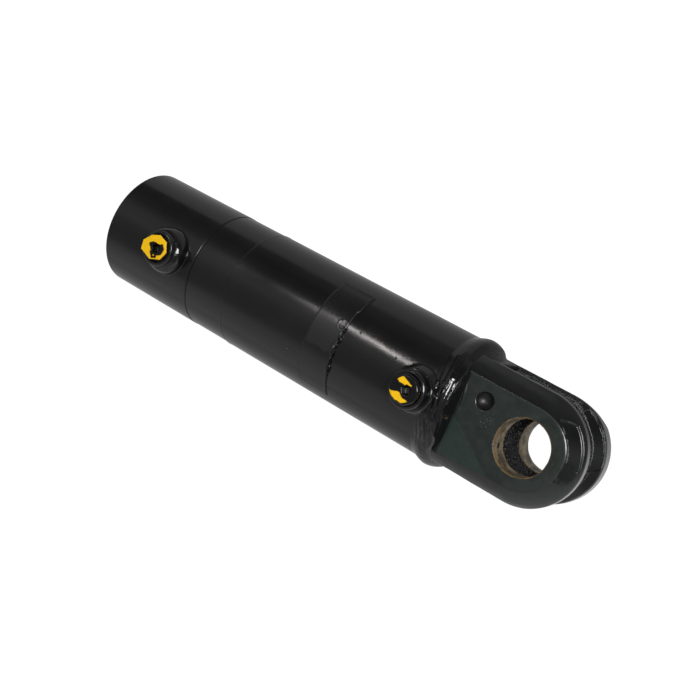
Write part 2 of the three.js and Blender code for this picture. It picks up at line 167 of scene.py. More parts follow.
def outline_distance(x, y, corners):
    """Distance from a closed outline, negative inside it."""
    best = np.full(np.shape(x), 1e9)
    inside = np.zeros(np.shape(x), bool)
    for (ax, ay), (bx, by) in zip(corners, corners[1:] + corners[:1]):
        t = ((x - ax) * (bx - ax) + (y - ay) * (by - ay)) / ((bx - ax) ** 2 + (by - ay) ** 2)
        t = np.clip(t, 0, 1)
        best = np.minimum(best, np.hypot(x - ax - t * (bx - ax), y - ay - t * (by - ay)))
        if ay != by:
            crosses = (ay > y) != (by > y)
            inside ^= crosses & (x < ax + (y - ay) * (bx - ax) / (by - ay))
    return np.where(inside, -best, best)


def bell(value, middle, width):
    return np.exp(-(((value - middle) / width) ** 2))


# ---- Meshes ----


def make(name, points, faces, normals=None, smooth_angle=30):
    """A mesh object from points in millimetres, smooth up to that angle or by the normals given."""
    mesh = bpy.data.meshes.new(name)
    mesh.from_pydata((points * MM).tolist(), [], [list(map(int, f)) for f in faces])
    mesh.validate()
    mesh.update()
    for polygon in mesh.polygons:
        polygon.use_smooth = True
    if normals is None:
        mesh.set_sharp_from_angle(angle=math.radians(smooth_angle))
    else:
        mesh.normals_split_custom_set_from_vertices(normals.tolist())
    return new_object(name, mesh)


def face_out(mesh, weld=False):
    """Turn every face outwards. Points that lie on one another are merged first, if asked."""
    build = bmesh.new()
    build.from_mesh(mesh)
    if weld:
        bmesh.ops.remove_doubles(build, verts=build.verts, dist=1e-7)
        bmesh.ops.dissolve_degenerate(build, edges=build.edges, dist=1e-8)
    bmesh.ops.recalc_face_normals(build, faces=build.faces)
    build.to_mesh(mesh)
    build.free()


def grown(name, field, low, high, step):
    """A piece that is the zero surface of a field, with its points and their normals."""
    points, faces, normals = surface(field, low, high, step)
    return make(name, points, faces, normals), points, normals


def finish_piece(piece, material, body, slot, *nodes):
    """Paint a piece, hang it on its body and hide the CAD nodes it stands in for."""
    piece.data.materials.clear()
    piece.data.materials.append(material)
    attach(piece, body)
    if nodes:
        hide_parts(*nodes)


def rounded(profile, radius, steps):
    """A closed outline with its corners rounded: points and their outward normals."""
    count = len(profile)
    pts = [np.array(p, float) for p in profile]
    area = sum(a[0] * b[1] - b[0] * a[1] for a, b in zip(pts, pts[1:] + pts[:1]))
    side = 1.0 if area > 0 else -1.0
    out, normals = [], []
    for i, p in enumerate(pts):
        before, after = pts[i - 1] - p, pts[(i + 1) % count] - p
        la, lb = np.linalg.norm(before), np.linalg.norm(after)
        a, b = before / la, after / lb
        na = side * np.array([-a[1], a[0]])
        nb = side * np.array([b[1], -b[0]])
        r = min(radius, 0.45 * la, 0.45 * lb)
        if p[1] == 0:
            out.append(p)
            normals.append(na if abs(a[0]) < 0.5 else nb)
            continue
        for k in range(steps + 1):
            t = k / steps
            out.append(p + a * r * (1 - t) ** 2 + b * r * t ** 2)
            n = na * (1 - t) + nb * t
            normals.append(n / max(np.linalg.norm(n), 1e-9))
    return np.array(out), np.array(normals)


def turned(name, profile, sides, radius, steps=4, axis="x", shift=(0, 0, 0), change=None):
    """A closed (along, radius) outline turned about X or Z.

    It has the outline's own normals, unless its points are changed or it closes on its axis.
    """
    line, flat = rounded(profile, radius, steps)
    line[:, 1] = np.maximum(line[:, 1], 0)
    count = len(line)
    angle = np.arange(sides) * TAU / sides
    c, s = np.cos(angle)[:, None], np.sin(angle)[:, None]

    def swept(pairs):
        along = np.repeat(pairs[None, :, 0], sides, 0)
        out = pairs[None, :, 1]
        parts = [along, out * c, out * s] if axis == "x" else [out * c, out * s, along]
        return np.stack(parts, -1).reshape(-1, 3)

    faces = []
    for i in range(sides):
        a, b = i * count, ((i + 1) % sides) * count
        for j in range(count):
            k = (j + 1) % count
            if line[j, 1] > 0 or line[k, 1] > 0:
                faces.append((a + j, b + j, b + k, a + k))
    points = swept(line) + np.array(shift)
    piece = make(name, points if change is None else change(points), faces)
    mesh = piece.data
    face_out(mesh, weld=True)
    if change is None and len(mesh.vertices) == len(points):
        mesh.normals_split_custom_set_from_vertices(swept(flat).tolist())
    else:
        mesh.set_sharp_from_angle(angle=math.radians(30))
    return piece


def thread(start, stop, pitch, root, crest):
    """The zigzag of a thread between two radii, for an outline."""
    return [point for at in np.arange(start, stop, pitch) for point in ((at, root), (at + pitch / 2, crest))]


def surface(field, low, high, step):
    """The zero surface of a field: points pulled onto it, quads and outward normals."""
    axes = [np.arange(a, b + step, step) for a, b in zip(low, high)]
    grid = np.stack(np.meshgrid(*axes, indexing="ij"), -1)
    values = field(grid)
    shape = tuple(n - 1 for n in values.shape)
    sums = np.zeros((math.prod(shape), 3))
    hits = np.zeros(len(sums))
    unit = np.eye(3, dtype=int)
    quads = []
    for axis in range(3):
        start = np.argwhere(np.diff(values < 0, axis=axis))
        end = start + unit[axis]
        a, b = values[tuple(start.T)], values[tuple(end.T)]
        t = (a / (a - b))[:, None]
        place = grid[tuple(start.T)] * (1 - t) + grid[tuple(end.T)] * t
        u, v = unit[(axis + 1) % 3], unit[(axis + 2) % 3]
        cells = []
        for du, dv in ((1, 1), (0, 1), (0, 0), (1, 0)):
            cell = np.clip(start - du * u - dv * v, 0, np.array(shape) - 1)
            flat = np.ravel_multi_index(tuple(cell.T), shape)
            for k in range(3):
                sums[:, k] += np.bincount(flat, place[:, k], len(hits))
            hits += np.bincount(flat, minlength=len(hits))
            cells.append(flat)
        ring = np.stack(cells, -1)
        ring[a > b] = ring[a > b][:, ::-1]
        quads.append(ring)
    used = hits > 0
    points = sums[used] / hits[used][:, None]
    faces = (np.cumsum(used) - 1)[np.concatenate(quads)]
    for _ in range(3):
        slope = gradient(field, points)
        move = (field(points) / np.maximum((slope ** 2).sum(-1), 0.05))[:, None] * slope
        size = np.linalg.norm(move, axis=1, keepdims=True)
        points = points - move * np.minimum(1, 0.35 * step / np.maximum(size, 1e-9))
    slope = gradient(field, points)
    return points, faces, slope / np.maximum(np.linalg.norm(slope, axis=1, keepdims=True), 1e-9)


def gradient(field, points, h=0.12):
    return np.stack([(field(points + side) - field(points - side)) / (2 * h) for side in np.eye(3) * h], -1)


def wear_and_highlight_of(field, points, normals, reach):
    """How strongly the surface is an outside edge, for paint that has worn thin there and for a highlight painted
    along it.
    """
    inner = points - normals * reach * 0.5
    around = sum(field(inner + sign * side) for side in np.eye(3) * reach for sign in (-1, 1))
    return np.clip((around / 6 - field(inner)) / reach * 4.0, 0, 1)


def add_attribute(piece, name, values):
    layer = piece.data.attributes.new(name, "FLOAT", "POINT")
    layer.data.foreach_set("value", np.asarray(values, np.float32))


# ---- Materials ----


def rgb(r, g, b):
    return (r, g, b, 1.0)


def grey(value):
    return rgb(value, value, value)


def feed(tree, socket, value):
    """Link a socket, or set it when the value is a plain one."""
    if isinstance(value, bpy.types.NodeSocket):
        tree.links.new(value, socket)
    else:
        socket.default_value = value


def add_node(tree, kind, inputs=None, **settings):
    node = tree.nodes.new(kind)
    for key, value in settings.items():
        setattr(node, key, value)
    for key, value in (inputs or {}).items():
        feed(tree, node.inputs[key], value)
    return node


class Paint:
    """A material under construction: a Principled shader and helpers to feed it."""

    def __init__(self, name):
        self.material = bpy.data.materials.new(name)
        self.material.use_nodes = True
        self.tree = self.material.node_tree
        self.shader = self.tree.nodes["Principled BSDF"]
        self.place = self.add("ShaderNodeTexCoord").outputs["Object"]

    def add(self, kind, inputs=None, **settings):
        return add_node(self.tree, kind, inputs, **settings)

    def set(self, **values):
        for key, value in values.items():
            feed(self.tree, self.shader.inputs[key.replace("_", " ")], value)

    def math(self, operation, a, b=0.0):
        return self.add("ShaderNodeMath", {0: a, 1: b}, operation=operation).outputs[0]

    def times(self, a, b):
        return self.math("MULTIPLY", a, b)

    def invert(self, value):
        return self.math("SUBTRACT", 1.0, value)

    def noise(self, size_mm, detail=2.0, rough=0.5, stretch=(1, 1, 1), turn=0.0):
        """Noise with features of about that size, between 0 and 1."""
        scale = [1000.0 / size_mm / s for s in stretch]
        place = self.place
        if turn:
            place = self.add("ShaderNodeMapping", {"Vector": place, "Rotation": (0, 0, turn)}).outputs[0]
        spread = self.add("ShaderNodeMapping", {"Vector": place, "Scale": scale})
        node = self.add(
            "ShaderNodeTexNoise",
            {"Vector": spread.outputs[0], "Scale": 1.0, "Detail": detail, "Roughness": rough},
        )
        return node.outputs["Fac"]

    def step(self, value, low, high, to_low=0.0, to_high=1.0):
        """A smooth step from one value to the other as the input goes from low to high."""
        node = self.add(
            "ShaderNodeMapRange",
            {"Value": value, "From Min": low, "From Max": high, "To Min": to_low, "To Max": to_high},
            interpolation_type="SMOOTHSTEP",
        )
        return node.outputs[0]

    def band(self, value, low, high, falling=False):
        """A smooth step along a coordinate. Its ends are in millimetres."""
        ends = (1.0, 0.0) if falling else (0.0, 1.0)
        return self.step(value, low * MM, high * MM, *ends)

    def mix(self, factor, a, b):
        """From colour a to colour b."""
        return self.add("ShaderNodeMix", {0: factor, 6: a, 7: b}, data_type="RGBA").outputs[2]

    def blend(self, factor, a, b):
        """From number a to number b."""
        return self.add("ShaderNodeMix", {0: factor, 2: a, 3: b}, data_type="FLOAT").outputs[0]

    def axis(self, name, vector=None):
        return self.add("ShaderNodeSeparateXYZ", {0: vector or self.place}).outputs[name]

    def spot(self, centre, radii, turn=0.0):
        """Distance from an ellipse's centre in the XY plane, 1 on its rim. Centre and radii in mm."""
        node = self.add(
            "ShaderNodeMapping",
            {
                "Vector": self.place,
                "Location": (centre[0] * MM, centre[1] * MM, 0),
                "Rotation": (0, 0, turn),
                "Scale": (radii[0] * MM, radii[1] * MM, 1e6),
            },
            vector_type="TEXTURE",
        )
        return self.add("ShaderNodeVectorMath", {0: node.outputs[0]}, operation="LENGTH").outputs["Value"]

    def bump(self, *layers):
        """Bump from (height 0..1, depth in mm) layers."""
        normal = None
        for height, depth in layers:
            inputs = {"Height": height, "Strength": 1.0, "Distance": depth * MM}
            if normal is not None:
                inputs["Normal"] = normal
            normal = self.add("ShaderNodeBump", inputs).outputs[0]
        self.set(Normal=normal)

    def attribute(self, name):
        return self.add("ShaderNodeAttribute", attribute_name=name).outputs["Fac"]

    def source(self, name):
        """What feeds one of the shader's inputs so far."""
        return self.shader.inputs[name].links[0].from_socket


def enamel(name, base=(0.0035, 0.0036, 0.0038), rough=0.17):
    """Sprayed gloss enamel: paler, duller patches and a fine dust in it."""
    paint = Paint(name)
    cloud = paint.noise(38, 3)
    fine = paint.noise(0.8, 2)
    paint.set(
        Base_Color=paint.mix(cloud, rgb(*base), rgb(*[c * 1.7 for c in base])),
        Roughness=paint.math(
            "ADD",
            paint.step(cloud, 0.3, 0.75, rough - 0.04, rough + 0.05),
            paint.step(fine, 0.35, 0.8, -0.02, 0.05),
        ),
    )
    return paint


def barrel_enamel():
    """Enamel with a pebbly skin, two pits and a chip, each at (x, degrees round from +Z, radius)."""
    paint = enamel("barrel_enamel")
    pits = 0.0
    for x, degrees, radius in ((-148.9, 19.8, 0.95), (-113.1, 15.7, 0.95), (-201.1, -24.3, 1.3)):
        turn = math.radians(degrees)
        centre = (x * MM, BARREL_R * math.sin(turn) * MM, BARREL_R * math.cos(turn) * MM)
        far = paint.add("ShaderNodeVectorMath", {0: paint.place, 1: centre}, operation="DISTANCE")
        pit = paint.band(far.outputs["Value"], radius * 0.55, radius, falling=True)
        pits = paint.math("MAXIMUM", pits, pit)
    paint.set(Roughness=paint.blend(pits, paint.source("Roughness"), 0.7))
    paint.bump((pits, -0.5), (paint.noise(4.5, 2), 0.02), (paint.noise(1.7, 2), 0.012), (paint.noise(0.7, 1), 0.004))
    return paint.material


def weld_enamel():
    """The same paint, thick and wet over weld metal, with brown where it has missed."""
    paint = Paint("weld_enamel")
    missed = paint.times(paint.step(paint.noise(9, 3), 0.64, 0.72), paint.step(paint.noise(1.8, 3), 0.50, 0.60))
    paint.set(
        Base_Color=paint.mix(missed, rgb(0.004, 0.004, 0.0045), rgb(0.035, 0.020, 0.012)),
        Roughness=paint.blend(missed, paint.step(paint.noise(6, 2), 0.3, 0.7, 0.08, 0.18), 0.6),
    )
    paint.bump((paint.noise(3.2, 3), 0.04), (paint.noise(0.9, 2), 0.01))
    return paint.material


def thin_paint(paint, mottle):
    """The green-black coat on the machined faces of the ear and bush."""
    return paint.mix(mottle, rgb(0.0055, 0.0088, 0.0075), rgb(0.0105, 0.017, 0.014))


def clevis_enamel():
    """Thin green-black paint on milled faces and gloss elsewhere, with a cast skin in the slot painted darker as
    shade, and worn edges painted pale, partly as a highlight.
    """
    paint = Paint("clevis_enamel")
    x, z = paint.axis("X"), paint.axis("Z")
    facing = paint.math("ABSOLUTE", paint.axis("Z", paint.add("ShaderNodeNewGeometry").outputs["Normal"]))
    mottle = paint.noise(7, 4, 0.65)
    scratch = paint.noise(1.1, 3, 0.6, stretch=(1.0, 7.0, 1.0), turn=-0.95)

    # The slot's walls, and the lower ear's bevel short of its tip.
    beside = paint.band(x, 5, 25, falling=True)
    bevel = paint.times(paint.band(z, -34, -25), beside)
    lower_wall = paint.band(z, -SLOT_Z - 1.6, -SLOT_Z - 1.0)
    in_slot = paint.times(
        paint.band(z, SLOT_Z + 1.0, SLOT_Z + 1.6, falling=True), paint.math("MAXIMUM", lower_wall, bevel)
    )

    # Milled faces: a thin coat, scratched bare where the corner was ground, and the locating hole in it painted
    # near-black as shade.
    flat = paint.times(paint.step(facing, 0.93, 0.985), paint.invert(in_slot))
    flat = paint.times(flat, paint.band(x, -58, -57))
    ground = paint.attribute("ground")
    bare = paint.mix(scratch, rgb(0.0075, 0.0125, 0.0105), rgb(0.020, 0.034, 0.028))
    thin = paint.mix(ground, thin_paint(paint, mottle), bare)
    gloss = paint.mix(mottle, rgb(0.003, 0.0032, 0.0034), rgb(0.006, 0.0065, 0.0065))
    # Painted shade: the locating hole's floor is coloured near-black.
    dimple = paint.step(paint.spot(DIMPLE, (DIMPLE_R + 0.2, DIMPLE_R + 0.2)), 0.92, 1.02, 1.0, 0.0)
    colour = paint.mix(dimple, paint.mix(flat, gloss, thin), rgb(0.003, 0.0026, 0.003))
    rough = paint.blend(flat, 0.2, paint.step(mottle, 0.3, 0.7, 0.32, 0.44))
    rough = paint.blend(dimple, rough, 0.42)

    # The slot's walls painted darker as shade between the ears, and pale specks on their cast skin, closer together
    # on the lower ear short of its tip.
    low_side = paint.times(paint.band(z, -SLOT_Z - 1.0, -SLOT_Z, falling=True), beside)
    grains = paint.math("ADD", paint.noise(1.5, 2, 0.6), paint.blend(low_side, 0.0, 0.06))
    specks = paint.times(paint.step(grains, 0.62, 0.70), in_slot)
    colour = paint.mix(paint.times(in_slot, 0.6), colour, grey(0.001))
    colour = paint.mix(specks, colour, rgb(0.038, 0.041, 0.040))

    # A scratched smear on the upper face, and pale pocks beside the locating hole.
    smear = paint.math("ADD", paint.spot((20.0, -26.0), (25.0, 13.0), 0.6), paint.noise(6, 3, 0.6))
    smear = paint.times(paint.step(smear, 1.35, 1.65, 1.0, 0.0), paint.band(z, 29, 31))
    streaks = paint.mix(scratch, rgb(0.003, 0.0042, 0.0038), rgb(0.012, 0.020, 0.017))
    colour = paint.mix(smear, colour, streaks)
    rough = paint.blend(smear, rough, 0.48)
    pocks = paint.step(paint.spot((-31.7, 4.6), (5.0, 7.0)), 0.8, 1.1, 1.0, 0.0)
    pocks = paint.times(pocks, paint.step(paint.noise(1.3, 2), 0.60, 0.66))
    colour = paint.mix(pocks, colour, rgb(0.07, 0.075, 0.07))

    # Outside edges painted pale grey: partly bare worn metal, partly a painted highlight along them.
    wear_and_highlight = paint.times(paint.attribute("wear_and_highlight"), paint.step(paint.noise(9, 4, 0.6), 0.38, 0.56))
    worn_and_highlit = paint.step(wear_and_highlight, 0.55, 1.0)
    polish_and_highlight = paint.mix(paint.noise(2.0, 2), rgb(0.022, 0.021, 0.020), rgb(0.12, 0.125, 0.13))
    paint.set(Base_Color=paint.mix(worn_and_highlit, colour, polish_and_highlight), Roughness=paint.blend(worn_and_highlit, rough, 0.35))
    cast = paint.times(paint.noise(0.9, 3, 0.8), in_slot)
    cut = paint.times(scratch, ground)
    paint.bump((cast, 0.40), (cut, 0.10), (paint.noise(3.5, 3), 0.035), (paint.noise(0.9, 2), 0.010))
    return paint.material


def decal_film():
    """The film under the paint: hazy in one part, with a painted highlight on its curl and a dull line round its
    edge painted dark as shadow.
    """
    paint = enamel("decal_film", base=(0.0045, 0.0045, 0.0048), rough=0.24)
    painted_edge_shadow = paint.attribute("painted_edge_shadow")
    haze = paint.attribute("haze")
    # Painted highlight: the raised curl is tinted pale grey.
    curl_painted_highlight = paint.step(paint.attribute("curl_highlight_mask"), 0.35, 0.8)
    colour = paint.mix(haze, paint.source("Base Color"), rgb(0.009, 0.009, 0.0095))
    # Painted shadow: a near-black line along the film's edge and its torn ridge.
    colour = paint.mix(painted_edge_shadow, colour, grey(0.001))
    rough = paint.blend(haze, paint.source("Roughness"), 0.42)
    paint.set(Base_Color=paint.mix(curl_painted_highlight, colour, rgb(0.10, 0.10, 0.105)), Roughness=paint.blend(painted_edge_shadow, rough, 0.95))
    paint.bump((paint.noise(4.5, 2), 0.05), (paint.noise(1.3, 2), 0.008))
    return paint.material


def dried_paint():
    """Paint that has dried in a thick line: very dark, with a hard shine."""
    paint = Paint("dried_paint")
    paint.set(
        Base_Color=paint.mix(paint.noise(2, 2), grey(0.0008), grey(0.002)),
        Roughness=paint.step(paint.noise(1.5, 2), 0.3, 0.7, 0.12, 0.3),
        Specular_IOR_Level=0.14,
    )
    paint.bump((paint.noise(1.2, 2), 0.03))
    return paint.material


def plug_material():
    """Yellow plastic where it still shows, black overspray elsewhere."""
    paint = Paint("plug_yellow")
    yellow = paint.mix(paint.noise(3, 3), rgb(0.86, 0.52, 0.0), rgb(0.70, 0.38, 0.0))
    speck = paint.step(paint.noise(0.7, 2), 0.70, 0.74)
    shown = paint.times(paint.attribute("bare"), paint.invert(speck))
    paint.set(
        Base_Color=paint.mix(shown, rgb(0.004, 0.004, 0.0042), yellow),
        Roughness=paint.blend(shown, 0.2, 0.55),
        Specular_IOR_Level=0.3,
    )
    paint.bump((shown, -0.06), (paint.noise(1.6, 3), 0.03))
    return paint.material


def bush_material():
    """Bronze gone brown in the bore, rust along its edges, the ear's paint over its ends, and its oil hole painted
    near-black as shade.
    """
    paint = Paint("bush_bronze")
    patches = paint.noise(8, 5, 0.65)
    runs = paint.noise(3, 4, 0.7, stretch=(1, 1, 3))
    mottle = paint.noise(7, 4, 0.65)
    stain = paint.step(patches, 0.40, 0.60)
    bronze = paint.mix(runs, rgb(0.070, 0.046, 0.016), rgb(0.25, 0.195, 0.095))
    dirt = paint.mix(runs, rgb(0.012, 0.008, 0.004), rgb(0.080, 0.045, 0.014))
    bore = paint.mix(stain, bronze, dirt)
    rust = paint.mix(runs, rgb(0.06, 0.026, 0.005), rgb(0.27, 0.15, 0.034))
    bore = paint.mix(paint.times(paint.attribute("rim"), paint.step(runs, 0.36, 0.50)), bore, rust)
    # Painted shade: the oil hole is coloured near-black.
    bore = paint.mix(paint.attribute("hole"), bore, grey(0.002))
    painted = paint.attribute("painted")
    paint.set(
        Base_Color=paint.mix(painted, bore, thin_paint(paint, mottle)),
        Metallic=paint.blend(painted, paint.step(stain, 0, 1, 0.3, 0.0), 0.0),
        Roughness=paint.blend(painted, paint.step(patches, 0.3, 0.7, 0.45, 0.75), 0.36),
    )
    paint.bump((runs, 0.06), (paint.noise(1, 3), 0.03))
    return paint.material


def metal(name, low, high, rough, depth):
    """Bare metal turned about X, with tool marks of that depth in millimetres."""
    paint = Paint(name)
    marks = paint.noise(2.0, 3, 0.6, stretch=(0.06, 1.5, 1.5))
    smear = paint.noise(26, 3)
    paint.set(
        Base_Color=paint.mix(smear, rgb(*low), rgb(*high)),
        Metallic=1.0,
        Roughness=paint.math(
            "ADD",
            paint.step(smear, 0.3, 0.7, rough - 0.04, rough + 0.06),
            paint.step(marks, 0.3, 0.7, -0.03, 0.04),
        ),
    )
    paint.bump((marks, depth))
    return paint.material


def plastic(name, low, high, rough, grain=1.2):
    """Rubber or plastic, mottled between two colours, with a fine grain of that size in millimetres."""
    paint = Paint(name)
    mottle = paint.noise(grain * 6, 3)
    paint.set(
        Base_Color=paint.mix(mottle, rgb(*low), rgb(*high)),
        Roughness=paint.step(mottle, 0.3, 0.7, rough - 0.06, rough + 0.08),
    )
    paint.bump((paint.noise(grain, 3), 0.02))
    return paint.material


BARREL_PAINT = barrel_enamel()
WELD_PAINT = weld_enamel()
CLEVIS_PAINT = clevis_enamel()
DECAL = decal_film()
DRIED_PAINT = dried_paint()
BRONZE = bush_material()
YELLOW = plug_material()
CHROME = metal("hard_chrome", (0.60, 0.61, 0.62), (0.70, 0.71, 0.72), 0.09, 0.001)
STEEL = metal("turned_steel", (0.30, 0.30, 0.31), (0.42, 0.42, 0.43), 0.34, 0.004)
IRON = metal("machined_iron", (0.16, 0.16, 0.165), (0.25, 0.25, 0.255), 0.42, 0.006)
URETHANE = plastic("blue_urethane", (0.02, 0.09, 0.30), (0.03, 0.13, 0.40), 0.42)
NITRILE = plastic("nitrile_rubber", (0.010, 0.010, 0.010), (0.018, 0.018, 0.018), 0.62)
PHENOLIC = plastic("fabric_phenolic", (0.15, 0.05, 0.015), (0.26, 0.10, 0.03), 0.55, 0.8)

# ---- Barrel, head and rod ----


def build_barrel():
    """The tube, with its skimmed band, and the head collar that it runs into at the seam."""
    sleeve_r = 47.4
    tube = turned(
        "tube_skin",
        [
            (SEAM_X - 18, BORE_R), (TUBE_X, BORE_R), (TUBE_X, BARREL_R - 4), (TUBE_X - 4, BARREL_R),
            (SKIM_X + 1.5, BARREL_R), (SKIM_X + 1.0, BARREL_R + 0.2), (SKIM_X + 0.2, BARREL_R + 0.2),
            (SKIM_X - 0.4, BARREL_R - 0.3), (SEAM_X + 0.6, BARREL_R - 0.3),
            (SEAM_X + 0.2, BARREL_R - 0.8), (SEAM_X + 0.2, sleeve_r), (SEAM_X - 18, sleeve_r),
        ],
        sides=240, radius=0.25,
    )
    finish_piece(tube, BARREL_PAINT, "barrel", "black_enamel", "barrel_tube")
    collar = turned(
        "collar_skin",
        [
            (HEAD_X, BORE_R + 1.5), (HEAD_X + 1.5, BORE_R), (SEAM_X - 19, BORE_R), (SEAM_X - 19, sleeve_r + 0.1),
            (SEAM_X, sleeve_r + 0.1), (SEAM_X, BARREL_R - 0.5), (SEAM_X - 0.45, BARREL_R),
            (HEAD_X + 1.5, BARREL_R), (HEAD_X, BARREL_R - 1.5),
        ],
        sides=240, radius=0.6,
    )
    finish_piece(collar, BARREL_PAINT, "barrel", "black_enamel", "head_collar")


def build_rod():
    """The rod: a threaded socket and two spanner flats at its end, and a thinner tail for the piston."""
    flats_x, flats_z, tail_r = ROD_END_X + 15, 19, 14.0
    profile = [(ROD_END_X, 13.8)] + thread(ROD_END_X + 2.5, ROD_END_X + 40, 1.8, 11.2, 12.1) + [
        (ROD_END_X + 42, 11.0), (ROD_END_X + 48, 0.0), (ROD_TAIL_X + 1.5, 0.0), (ROD_TAIL_X + 1.5, tail_r - 1.5),
        (ROD_TAIL_X, tail_r), (PISTON_X, tail_r), (PISTON_X, ROD_R - 1), (PISTON_X - 1, ROD_R),
        (flats_x + 0.2, ROD_R), (flats_x - 0.2, ROD_R), (ROD_END_X + 3, ROD_R), (ROD_END_X, ROD_R - 3),
    ]

    def flats(points):
        near = points[:, 0] < flats_x
        points[:, 2] = np.where(near, np.clip(points[:, 2], -flats_z, flats_z), points[:, 2])
        return points

    rod = turned("rod_skin", profile, sides=160, radius=0.25, steps=2, change=flats)
    finish_piece(rod, CHROME, "rod_assembly", "chrome", "piston_rod")


def build_gland():
    """The gland in the head, with four spanner drillings in its face, and the wiper in its mouth."""
    wiper_x, groove_x, nose_x, step_x = GLAND_X + 1.5, GLAND_X + 8.6, HEAD_X + 78.3, HEAD_X + 58.5
    mouth_r, groove_r, nose_r, body_r, drill_r = ROD_R + 0.6, 27.9, 31, 44.3, 3.2
    body = turned(
        "gland_skin",
        [
            (GLAND_X, mouth_r), (wiper_x, mouth_r), (wiper_x, groove_r), (groove_x, groove_r), (groove_x, mouth_r),
            (nose_x - 1.0, mouth_r), (nose_x, mouth_r + 1.0), (nose_x, nose_r), (step_x, nose_r),
            (step_x, body_r - 1.0), (step_x - 1.0, body_r), (GLAND_X + 0.8, body_r), (GLAND_X, body_r - 0.8),
        ],
        sides=160, radius=0.3,
    )
    for degrees in (45, 135, 225, 315):
        angle = math.radians(degrees)
        drill = turned(
            "spanner_drill", [(GLAND_X - 3, 0), (GLAND_X + 6, 0), (GLAND_X + 4.6, drill_r), (GLAND_X - 3, drill_r)],
            sides=32, radius=0.02, steps=1, shift=(0, 36 * math.cos(angle), 36 * math.sin(angle)),
        )
        cutter = body.modifiers.new("hole", "BOOLEAN")
        cutter.operation = "DIFFERENCE"
        cutter.object = drill
        cutter.solver = "EXACT"
        bpy.context.view_layer.update()
        done = bpy.data.meshes.new_from_object(body.evaluated_get(bpy.context.evaluated_depsgraph_get()))
        body.modifiers.clear()
        body.data = done
        bpy.data.objects.remove(drill)
    body.data.set_sharp_from_angle(angle=math.radians(30))
    finish_piece(body, IRON, "barrel", "cast_iron", "gland")
    wiper = turned(
        "wiper_skin",
        [
            (wiper_x + 0.2, ROD_R + 1.2), (wiper_x - 0.7, ROD_R + 0.9), (wiper_x + 1.6, ROD_R + 0.16),
            (wiper_x + 6.8, ROD_R + 0.16), (wiper_x + 6.8, 27.0), (wiper_x + 4.6, 27.7), (wiper_x + 0.2, 27.7),
        ],
        sides=160, radius=0.25,
    )
    finish_piece(wiper, URETHANE, "barrel", "urethane", "rod_wiper")


# ---- Base clevis ----


def ground_side(x, y):
    """How far a point lies beyond the crease of the corner that was ground off the ear's face."""
    return (x + 55.1) * -0.5485 + (y + 3.7) * -0.836


def clevis_field(p):
    """A round bar milled to two ears, the upper one domed at its tip, each with a shallow relief there."""
    x, y, z = p[..., 0], p[..., 1], p[..., 2]
    rho, reach = np.hypot(y, z), np.hypot(x, y)
    dome = BAR_R * (np.sqrt((np.maximum(x, 0) / DOME_X) ** 2 + (rho / BAR_R) ** 2) - 1)
    dome = np.where(z > 0, dome, rho - BAR_R)
    stadium = np.where(x < 0, np.abs(y), reach) - EAR_R
    ears = smooth_max(stadium, np.abs(z) - EAR_Z, 1.2)
    cone = 0.836 * (x - NECK_X) + 0.549 * (rho - BAR_R)
    neck = smooth_max(cone, x + 55, 2.0)
    milled = smooth_min(ears, neck, 0.8)
    body = np.maximum(smooth_max(dome, milled, 0.6), -73.0 - x)
    body = np.where(x < -66, np.maximum(body, rho - 50.2), body)
    body = smooth_max(body, z - (EAR_Z - 0.14 * ground_side(x, y)), 0.2)
    angle = np.degrees(np.arctan2(y, x))
    rise = (z - 29.3) / 11.1
    wedge = np.maximum(angle - (48.3 + 19.2 * rise), (1.6 + 8.8 * rise) - angle) * 0.66
    relief = smooth_max(smooth_max(wedge, -(dome + 1.4), 0.4), np.abs(z - 34.3) - 4.1, 0.4)
    body = smooth_max(body, -relief, 0.25)
    slot = smooth_max(SLOT_X - x, np.abs(z) - SLOT_Z, 3.0)
    body = smooth_max(body, -slot, 1.0)
    bevel = 0.74 * ((z + SLOT_Z) + 0.9 * (stadium + 3.4 + 4.6 * ramp(x, 0, 26)))
    below = smooth_max(body, np.minimum(bevel, x - SLOT_X - 1.0), 1.4)
    low_top = np.maximum(z + SLOT_Z, bevel)
    low_wedge = np.maximum(angle - 70, 4 + 1.2 * (reach - 42) - angle) * 0.7
    low_relief = smooth_max(smooth_max(low_wedge, -(low_top + 1.2), 0.4), np.abs(reach - 36.2) - 5.9, 0.4)
    below = smooth_max(below, -low_relief, 0.25)
    body = np.where(z < -8, below, body)
    body = smooth_max(body, PIN_R + 0.45 - reach, 0.3)
    dimple_r = np.hypot(x - DIMPLE[0], y - DIMPLE[1])
    dimple = smooth_max(dimple_r - DIMPLE_R, (EAR_Z - 5.2 + 0.09 * dimple_r ** 2) - z, 1.5)
    body = smooth_max(body, -dimple, 0.9)
    drilled = np.where((z > 0) & (reach < 32), oil_hole(x, y, z, 1), 9.0)
    body = smooth_max(body, -drilled, 0.3)
    return body + 0.07 * lumps(p, 9, 3) + 0.05 * lumps(p, 4.5, 4)


def build_clevis():
    """The clevis, with its worn edges that carry a painted highlight, and the ground corner of its face marked for
    the paint.
    """
    piece, points, normals = grown("clevis_skin", clevis_field, (-75, -53, -53), (55, 53, 53), 0.8)
    add_attribute(piece, "wear_and_highlight", wear_and_highlight_of(clevis_field, points, normals, 0.7))
    x, y, z = points.T
    add_attribute(piece, "ground", ramp(ground_side(x, y), -0.4, 0.6) * (z > 30) * ramp(x, -57.5, -56.5))
    finish_piece(piece, CLEVIS_PAINT, "barrel", "grey_enamel", "base_clevis")


def oil_hole(x, y, z, side):
    """Distance from the wall of a bush's oil hole. It enters from one side of the bore only."""
    along = (-0.914 * x - 0.403 * y) * side
    across = 0.914 * y - 0.403 * x
    return np.where(along > 0, np.hypot(across, z - (SLOT_Z + EAR_Z) / 2) - OIL_HOLE_R, 9.0)


